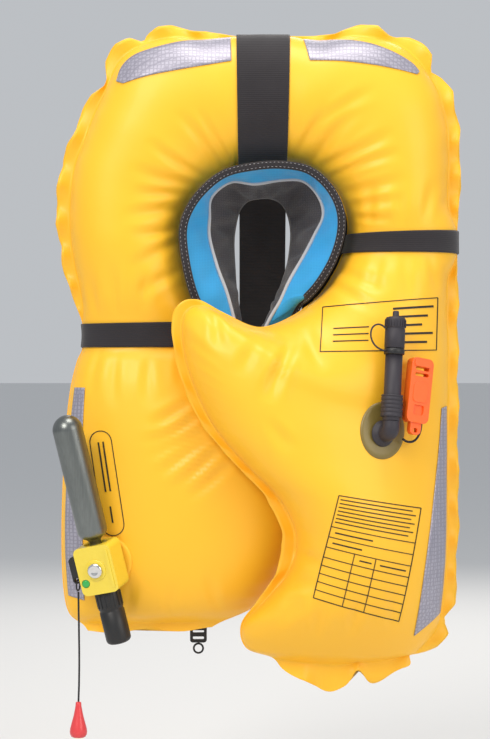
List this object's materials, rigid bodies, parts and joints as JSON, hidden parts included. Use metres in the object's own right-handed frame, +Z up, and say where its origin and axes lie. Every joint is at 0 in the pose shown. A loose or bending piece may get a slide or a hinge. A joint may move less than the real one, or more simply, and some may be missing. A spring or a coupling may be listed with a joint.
{
  "type": "inflatable life jacket",
  "caption": "Inflated automatic life jacket: yellow horseshoe air bladder, blue collar, elastic bands, gas cylinder inflator with pull cord, oral tube, whistle and waist harness",
  "frame": {"origin": "middle of the neck opening, half way through the collar, where the wearer's neck holds the jacket up", "axes": "+Z up, +X to the right as seen from the front (the wearer's left), the front faces -Y"},
  "size_m": [0.4212, 0.366, 0.7394],
  "materials": {
    "bladder_fabric": "satin",
    "elastic": "matte",
    "reflective": "satin",
    "collar_fabric": "matte",
    "mesh_lining": "matte",
    "piping": "matte",
    "black_plastic": "satin",
    "yellow_plastic": "gloss",
    "cylinder_steel": "satin",
    "chrome": "polished",
    "green_plastic": "gloss",
    "red_plastic": "gloss",
    "orange_plastic": "gloss",
    "black_rubber": "matte",
    "patch_fabric": "satin",
    "white_plastic": "satin",
    "cord": "matte"
  },
  "bodies": {
    "jacket": {"bladder": "bladder_fabric", "left_lobe_band": "elastic", "nape_band": "elastic", "right_lobe_band": "elastic", "reflective_tape_top_left": "reflective", "reflective_tape_top_right": "reflective", "reflective_tape_left": "reflective", "reflective_tape_right": "reflective", "collar_binding": "elastic", "collar_cover": "collar_fabric", "collar_piping": "piping", "collar_lining": "mesh_lining", "cover_back_panel": "mesh_lining", "waist_belt_left": "elastic", "waist_belt_right": "elastic", "belt_adjuster": "black_plastic", "back_strap_slider": "black_plastic", "belt_loop_left": "elastic", "belt_loop_right": "elastic", "buckle_female": "black_plastic", "back_strap": "elastic", "inflator_patch": "patch_fabric", "manifold_stem": "chrome", "stem_gasket": "black_rubber", "cap_nut": "chrome", "inflator_body": "yellow_plastic", "status_indicator": "green_plastic", "lever_pin": "chrome", "oral_patch": "patch_fabric", "oral_elbow": "black_rubber", "oral_tube": "black_rubber", "oral_sleeve": "black_rubber", "tube_collar": "black_plastic", "oral_valve_body": "white_plastic", "valve_spring": "cylinder_steel", "cap_tether": "black_rubber", "whistle_lanyard": "cord"},
    "lever": {"pull_lever": "black_plastic"},
    "piercer": {"piercing_pin": "chrome"},
    "cord_link": {"cord_ring": "cord"},
    "cord": {"pull_cord": "cord", "pull_toggle": "red_plastic"},
    "cylinder_thread": {"cylinder_seal": "black_rubber"},
    "cylinder": {"co2_cylinder": "cylinder_steel"},
    "capsule_thread": {"capsule_seal": "black_rubber"},
    "capsule": {"auto_capsule": "black_plastic", "capsule_bobbin": "white_plastic", "capsule_spring": "cylinder_steel", "capsule_hammer": "black_plastic"},
    "tube_cap": {"oral_cap": "black_rubber"},
    "valve": {"valve_poppet": "red_plastic"},
    "whistle_body": {"whistle": "orange_plastic"},
    "buckle_tongue": {"buckle_male": "black_plastic", "belt_webbing_front": "elastic"},
    "tail": {"belt_tail": "elastic", "tail_slider": "black_plastic", "tail_ring": "black_plastic"}
  },
  "joints": [
    {"name": "lever_pull", "type": "hinge", "parent": "jacket", "child": "lever", "pos_m": [-0.18052, -0.10511, -0.34085], "axis": [-0.266, -0.9499, -0.164], "range_deg": [0, 35]},
    {"name": "pin_travel", "type": "slide", "parent": "jacket", "child": "piercer", "axis": [-0.229, -0.103, 0.968], "range_m": [0, 0.0034]},
    {"name": "cord_follow", "type": "hinge", "parent": "lever", "child": "cord_link", "pos_m": [-0.19098, -0.10014, -0.35262], "axis": [-0.266, -0.9499, -0.164], "range_deg": [-35, 0]},
    {"name": "cord_swing", "type": "hinge", "parent": "cord_link", "child": "cord", "pos_m": [-0.19045, -0.09827, -0.36506], "axis": [-1, 0, 0], "range_deg": [-10, 60]},
    {"name": "cylinder_feed", "type": "slide", "parent": "jacket", "child": "cylinder_thread", "axis": [-0.229, -0.103, 0.968], "range_m": [0, 0.01016]},
    {"name": "cylinder_turn", "type": "hinge", "parent": "cylinder_thread", "child": "cylinder", "pos_m": [-0.16648, -0.10954, -0.33799], "axis": [-0.229, -0.103, 0.968], "range_deg": [0, 2880]},
    {"name": "capsule_feed", "type": "slide", "parent": "jacket", "child": "capsule_thread", "axis": [0.229, 0.103, -0.968], "range_m": [0, 0.009]},
    {"name": "capsule_turn", "type": "hinge", "parent": "capsule_thread", "child": "capsule", "pos_m": [-0.16648, -0.10954, -0.33799], "axis": [0.229, 0.103, -0.968], "range_deg": [0, 1080]},
    {"name": "cap_pull", "type": "slide", "parent": "jacket", "child": "tube_cap", "axis": [0.05, 0.095, 0.9942], "range_m": [0, 0.04]},
    {"name": "valve_press", "type": "slide", "parent": "jacket", "child": "valve", "axis": [0.05, 0.095, 0.9942], "range_m": [-0.003, 0], "stiffness_N_per_m": 400, "springref_m": 0.001},
    {"name": "whistle_pull", "type": "slide", "parent": "jacket", "child": "whistle_body", "axis": [0.4867, -0.8715, 0.059], "range_m": [0, 0.04]},
    {"name": "buckle_release", "type": "slide", "parent": "jacket", "child": "buckle_tongue", "axis": [1, 0, 0], "range_m": [0, 0.0235]},
    {"name": "tail_swing", "type": "hinge", "parent": "jacket", "child": "tail", "pos_m": [-0.069, 0.0133, -0.3045], "axis": [1, 0, 0], "range_deg": [0, 60]}
  ],
  "couplings": [
    {"joint": "pin_travel", "follows": "lever_pull", "m_per_rad": 0.00556},
    {"joint": "cord_follow", "follows": "lever_pull", "ratio": -1},
    {"joint": "cylinder_feed", "follows": "cylinder_turn", "m_per_rad": 0.00020213},
    {"joint": "capsule_feed", "follows": "capsule_turn", "m_per_rad": 0.00047746}
  ]
}
